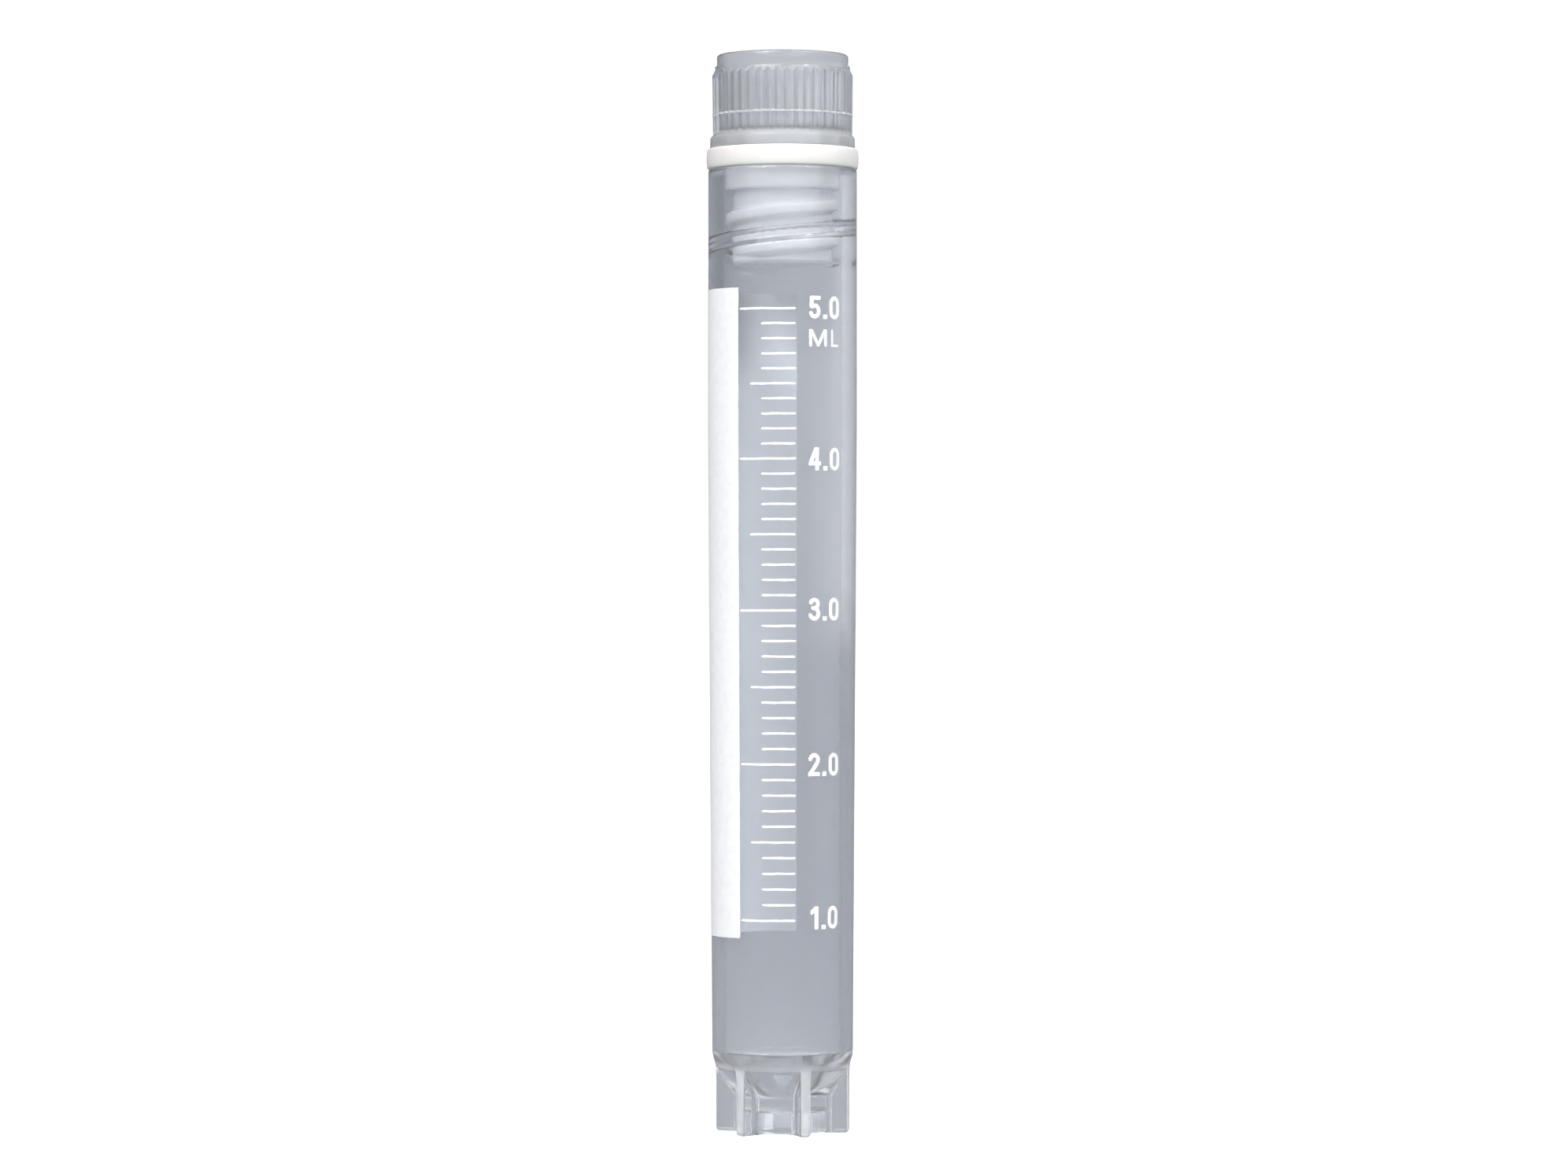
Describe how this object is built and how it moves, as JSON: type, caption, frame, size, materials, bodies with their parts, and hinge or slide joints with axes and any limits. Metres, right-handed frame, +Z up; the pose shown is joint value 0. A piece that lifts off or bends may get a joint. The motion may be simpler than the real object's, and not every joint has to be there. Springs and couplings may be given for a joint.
{
  "type": "test tube",
  "caption": "Self-standing translucent plastic cryogenic test tube with a star foot, printed volume scale, writing panel, sealing washer and knurled plug-type screw cap.",
  "frame": {"origin": "centre of the foot, on the plane that the ribs stand on", "axes": "+Z up along the tube's axis, -Y towards the front, where the volume scale faces"},
  "size_m": [0.0128, 0.0128, 0.0906],
  "materials": {
    "tube_plastic": "translucent moulded polypropylene, satin gloss",
    "white_ink": "matt screen-printed ink",
    "white_silicone": "smooth satin silicone",
    "cap_plastic": "translucent moulded polypropylene, satin gloss"
  },
  "bodies": {
    "tube": {"tube": "tube_plastic", "writing_panel": "white_ink"},
    "washer": {"sealing_washer": "white_silicone"},
    "cap": {"screw_cap": "cap_plastic"}
  },
  "joints": [
    {"name": "cap_lift", "type": "slide", "parent": "tube", "child": "washer", "axis": [0, 0, 1], "range_m": [0, 0.009]},
    {"name": "cap_turn", "type": "hinge", "parent": "washer", "child": "cap", "pos_m": [0, 0, 0.083], "axis": [0, 0, 1], "range_deg": [0, 1080]}
  ],
  "couplings": [
    {"joint": "cap_turn", "follows": "cap_lift", "rad_per_m": 2094.4}
  ]
}
